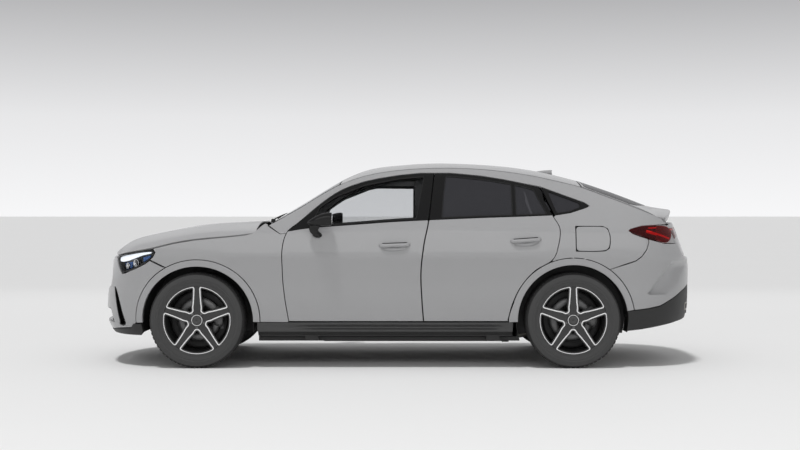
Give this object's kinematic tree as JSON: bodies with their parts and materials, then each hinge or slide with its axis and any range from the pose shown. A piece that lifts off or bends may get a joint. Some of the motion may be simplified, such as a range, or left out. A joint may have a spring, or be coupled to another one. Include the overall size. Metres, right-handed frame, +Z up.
{
  "type": "sport utility vehicle",
  "caption": "Coupe-shaped sport utility vehicle with sloping rear, hinged doors, bonnet, tailgate and fuel flap, steered front wheels and a hollow furnished cabin.",
  "frame": {"origin": "middle of the length and width, on the ground", "axes": "front towards -X, left side towards -Y, +Z up"},
  "size_m": [4.7562, 2.072, 1.608],
  "materials": {
    "body_paint": "clearcoat grey",
    "tyre": "matt",
    "wheel_alloy": "dark with bright cut",
    "clear_glass": "polished",
    "privacy_glass": "dark tint",
    "gloss_black": "gloss",
    "lamp_clear": "clear lens",
    "lamp_red": "red lens",
    "underbody": "satin black",
    "chassis_metal": "cast",
    "exhaust_steel": "brushed",
    "black_plastic": "grained",
    "cabin_plastic": "grained",
    "cabin_leather": "smooth",
    "seat_leather": "grained"
  },
  "bodies": {
    "body": {"floor_pan": "underbody", "bulkhead": "underbody", "side_frame_left": "body_paint", "side_frame_right": "body_paint", "roof_panel": "body_paint", "fender_left": "body_paint", "fender_right": "body_paint", "front_bumper": "body_paint", "front_grille": "black_plastic", "rear_bumper": "body_paint", "lower_cladding": "black_plastic", "headlamps": "lamp_clear", "tail_lamps": "lamp_red", "fixed_glass": "clear_glass", "dashboard": "cabin_plastic", "front_seats": "seat_leather", "rear_bench": "seat_leather", "engine_block": "chassis_metal", "subframes": "chassis_metal", "cowl_wipers": "black_plastic", "exhaust": "exhaust_steel"},
    "bonnet": {"bonnet": "body_paint"},
    "tailgate": {"tailgate": "body_paint", "rear_window": "privacy_glass"},
    "door_fl": {"door_front_left": "body_paint", "glass_front_left": "clear_glass", "mirror_left": "gloss_black"},
    "door_fr": {"door_front_right": "body_paint", "glass_front_right": "clear_glass", "mirror_right": "gloss_black"},
    "door_rl": {"door_rear_left": "body_paint", "glass_rear_left": "privacy_glass"},
    "door_rr": {"door_rear_right": "body_paint", "glass_rear_right": "privacy_glass"},
    "steer_left": {"knuckle_left": "chassis_metal"},
    "steer_right": {"knuckle_right": "chassis_metal"},
    "wheel_fl": {"wheel_front_left": "wheel_alloy", "tyre_front_left": "tyre"},
    "wheel_fr": {"wheel_front_right": "wheel_alloy", "tyre_front_right": "tyre"},
    "wheel_rl": {"wheel_rear_left": "wheel_alloy", "tyre_rear_left": "tyre"},
    "wheel_rr": {"wheel_rear_right": "wheel_alloy", "tyre_rear_right": "tyre"},
    "fuel_flap": {"fuel_flap": "body_paint"},
    "steering_wheel": {"steering_wheel": "cabin_leather"}
  },
  "joints": [
    {"name": "steer_left", "type": "hinge", "parent": "body", "child": "steer_left", "pos_m": [-1.5255, -0.725, 0.367], "axis": [0, 0, 1], "range_deg": [-33, 33]},
    {"name": "steer_right", "type": "hinge", "parent": "body", "child": "steer_right", "pos_m": [-1.5255, 0.725, 0.367], "axis": [0, 0, 1], "range_deg": [-33, 33]},
    {"name": "steering_wheel", "type": "hinge", "parent": "body", "child": "steering_wheel", "pos_m": [-0.47, -0.37, 0.985], "axis": [0.9135, 0, 0.4067], "range_deg": [-429, 429]},
    {"name": "wheel_fl", "type": "hinge", "parent": "steer_left", "child": "wheel_fl", "pos_m": [-1.5255, -0.805, 0.367], "axis": [0, 1, 0], "continuous": true},
    {"name": "wheel_fr", "type": "hinge", "parent": "steer_right", "child": "wheel_fr", "pos_m": [-1.5255, 0.805, 0.367], "axis": [0, 1, 0], "continuous": true},
    {"name": "wheel_rl", "type": "hinge", "parent": "body", "child": "wheel_rl", "pos_m": [1.3625, -0.808, 0.367], "axis": [0, 1, 0], "continuous": true},
    {"name": "wheel_rr", "type": "hinge", "parent": "body", "child": "wheel_rr", "pos_m": [1.3625, 0.808, 0.367], "axis": [0, 1, 0], "continuous": true},
    {"name": "door_fl", "type": "hinge", "parent": "body", "child": "door_fl", "pos_m": [-0.785, -0.89, 0.71], "axis": [0, 0, -1], "range_deg": [0, 68]},
    {"name": "door_fr", "type": "hinge", "parent": "body", "child": "door_fr", "pos_m": [-0.785, 0.89, 0.71], "axis": [0, 0, 1], "range_deg": [0, 68]},
    {"name": "door_rl", "type": "hinge", "parent": "body", "child": "door_rl", "pos_m": [0.269, -0.89, 0.71], "axis": [0, 0, -1], "range_deg": [0, 68]},
    {"name": "door_rr", "type": "hinge", "parent": "body", "child": "door_rr", "pos_m": [0.269, 0.89, 0.71], "axis": [0, 0, 1], "range_deg": [0, 68]},
    {"name": "bonnet", "type": "hinge", "parent": "body", "child": "bonnet", "pos_m": [-1.045, 0, 1.035], "axis": [0, 1, 0], "range_deg": [0, 50]},
    {"name": "tailgate", "type": "hinge", "parent": "body", "child": "tailgate", "pos_m": [1.501, 0, 1.434], "axis": [0, -1, 0], "range_deg": [0, 80]},
    {"name": "fuel_flap", "type": "hinge", "parent": "body", "child": "fuel_flap", "pos_m": [1.4, -0.90159, 0.993], "axis": [0, -0.2508, -0.968], "range_deg": [0, 95]}
  ],
  "couplings": [
    {"joint": "steer_right", "follows": "steer_left", "ratio": 1},
    {"joint": "steering_wheel", "follows": "steer_left", "ratio": 13}
  ]
}
